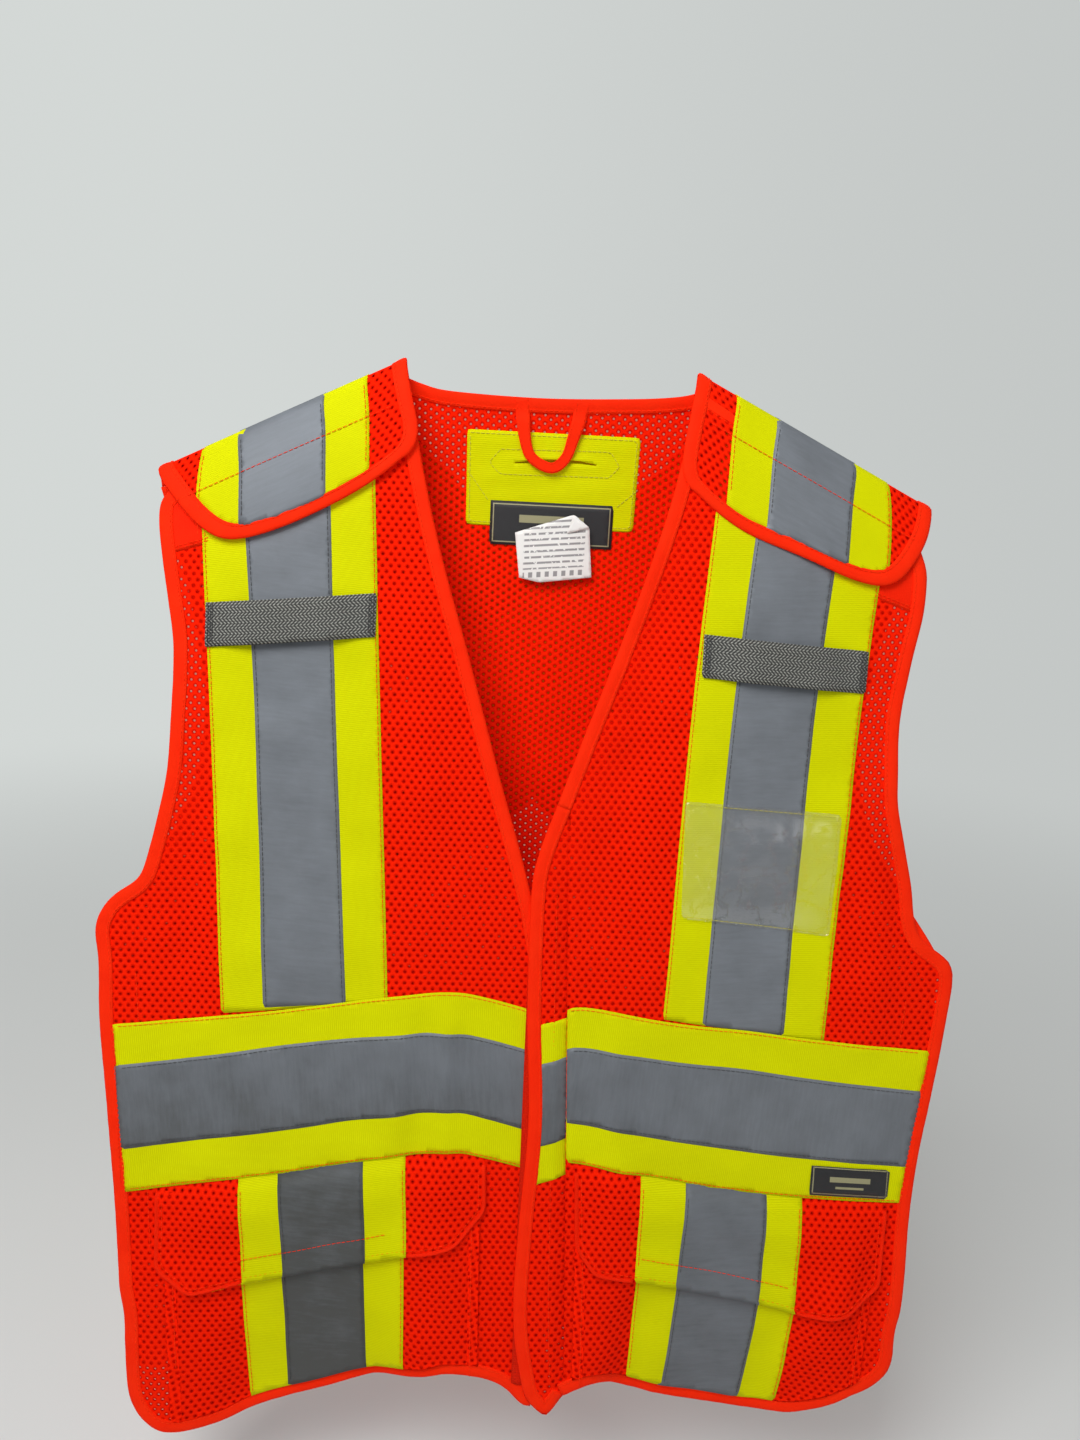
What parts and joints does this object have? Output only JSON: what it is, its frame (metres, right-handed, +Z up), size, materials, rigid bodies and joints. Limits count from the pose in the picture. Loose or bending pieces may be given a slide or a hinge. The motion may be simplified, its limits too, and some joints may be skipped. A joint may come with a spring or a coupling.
{
  "type": "high visibility vest",
  "caption": "Orange mesh safety vest with breakaway shoulders, sides and front, yellow and silver tapes, flap pockets, a clear card pocket and microphone loops.",
  "frame": {"origin": "middle of the neck at the height of the shoulder ridge", "axes": "+Z up, the fronts face -Y, +X is the wearer's left"},
  "size_m": [0.5356, 0.0843, 0.6694],
  "materials": {
    "orange_mesh": "fluorescent orange knitted polyester mesh with small round holes",
    "orange_binding": "fluorescent orange woven edge binding",
    "orange_cloth": "fluorescent orange cloth tape",
    "yellow_tape": "fluorescent yellow ribbed polyester tape",
    "reflective_tape": "silver retroreflective tape, satin",
    "grey_webbing": "grey woven webbing",
    "hook_and_loop": "orange hook and loop strip",
    "woven_label": "black woven label",
    "care_label": "white printed satin label",
    "clear_vinyl": "clear flexible vinyl, wrinkled"
  },
  "bodies": {
    "root": {"back_panel": "orange_mesh", "back_binding": "orange_binding", "back_waist_tape": "yellow_tape", "back_waist_reflective": "reflective_tape", "back_x_tape": "yellow_tape", "back_x_reflective": "reflective_tape", "d_ring_patch": "yellow_tape", "neck_label": "woven_label", "left_side_loop_strip": "hook_and_loop", "right_side_loop_strip": "hook_and_loop"},
    "hang_loop": {"hang_loop": "orange_cloth"},
    "care_label": {"care_label": "care_label"},
    "placket": {"placket_panel": "orange_mesh", "placket_binding": "orange_binding", "placket_tape": "yellow_tape", "placket_reflective": "reflective_tape", "placket_hook_strip": "hook_and_loop"},
    "left_shoulder_flap": {"left_shoulder_flap": "orange_mesh", "left_shoulder_flap_binding": "orange_binding", "left_shoulder_flap_tape": "yellow_tape", "left_shoulder_flap_reflective": "reflective_tape", "left_shoulder_hook_strip": "hook_and_loop"},
    "left_front": {"left_front_panel": "orange_mesh", "left_front_binding": "orange_binding", "left_shoulder_loop_strip": "hook_and_loop", "left_side_hook_strip": "hook_and_loop", "left_chest_tape": "yellow_tape", "left_chest_reflective": "reflective_tape", "left_waist_tape": "yellow_tape", "left_waist_reflective": "reflective_tape", "left_mic_loop": "grey_webbing", "left_pocket": "orange_mesh", "left_pocket_tape": "yellow_tape", "left_pocket_reflective": "reflective_tape", "id_pocket": "clear_vinyl", "waist_label": "woven_label"},
    "left_pocket_flap": {"left_pocket_flap": "orange_mesh", "left_pocket_flap_tape": "yellow_tape", "left_pocket_flap_reflective": "reflective_tape"},
    "right_shoulder_flap": {"right_shoulder_flap": "orange_mesh", "right_shoulder_flap_binding": "orange_binding", "right_shoulder_flap_tape": "yellow_tape", "right_shoulder_flap_reflective": "reflective_tape", "right_shoulder_hook_strip": "hook_and_loop"},
    "right_front": {"right_front_panel": "orange_mesh", "right_front_binding": "orange_binding", "right_shoulder_loop_strip": "hook_and_loop", "right_side_hook_strip": "hook_and_loop", "right_chest_tape": "yellow_tape", "right_chest_reflective": "reflective_tape", "right_waist_tape": "yellow_tape", "right_waist_reflective": "reflective_tape", "right_mic_loop": "grey_webbing", "right_pocket": "orange_mesh", "right_pocket_tape": "yellow_tape", "right_pocket_reflective": "reflective_tape", "placket_loop_strip": "hook_and_loop"},
    "right_pocket_flap": {"right_pocket_flap": "orange_mesh", "right_pocket_flap_tape": "yellow_tape", "right_pocket_flap_reflective": "reflective_tape"}
  },
  "joints": [
    {"name": "left_shoulder_flap_lift", "type": "hinge", "parent": "root", "child": "left_shoulder_flap", "pos_m": [0.088, -0.002, 0], "axis": [-0.8994, 0, 0.4371], "range_deg": [0, 150]},
    {"name": "left_front_breakaway", "type": "slide", "parent": "root", "child": "left_front", "axis": [0, -0.0797, -0.9968], "range_m": [0, 0.12]},
    {"name": "left_pocket_flap_lift", "type": "hinge", "parent": "left_front", "child": "left_pocket_flap", "pos_m": [0.035, -0.05847, -0.4917], "axis": [-0.9956, 0, 0.0939], "range_deg": [0, 125]},
    {"name": "right_shoulder_flap_lift", "type": "hinge", "parent": "root", "child": "right_shoulder_flap", "pos_m": [-0.088, -0.002, 0], "axis": [-0.8994, 0, -0.4371], "range_deg": [0, 150]},
    {"name": "right_front_breakaway", "type": "slide", "parent": "root", "child": "right_front", "axis": [0, -0.0797, -0.9968], "range_m": [0, 0.12]},
    {"name": "right_pocket_flap_lift", "type": "hinge", "parent": "right_front", "child": "right_pocket_flap", "pos_m": [-0.018, -0.05454, -0.4901], "axis": [-0.9956, 0, -0.0939], "range_deg": [0, 125]},
    {"name": "placket_peel", "type": "hinge", "parent": "left_front", "child": "placket", "pos_m": [0.023, -0.0408, -0.3], "axis": [-0.0406, 0.0797, 0.996], "range_deg": [0, 95]},
    {"name": "hang_loop_swing", "type": "hinge", "parent": "root", "child": "hang_loop", "pos_m": [0, 0.0032, -0.0195], "axis": [-1, 0, 0], "range_deg": [0, 170]},
    {"name": "care_label_lift", "type": "hinge", "parent": "root", "child": "care_label", "pos_m": [0, 0.0092, -0.0883], "axis": [-1, 0, 0], "range_deg": [0, 120]}
  ]
}
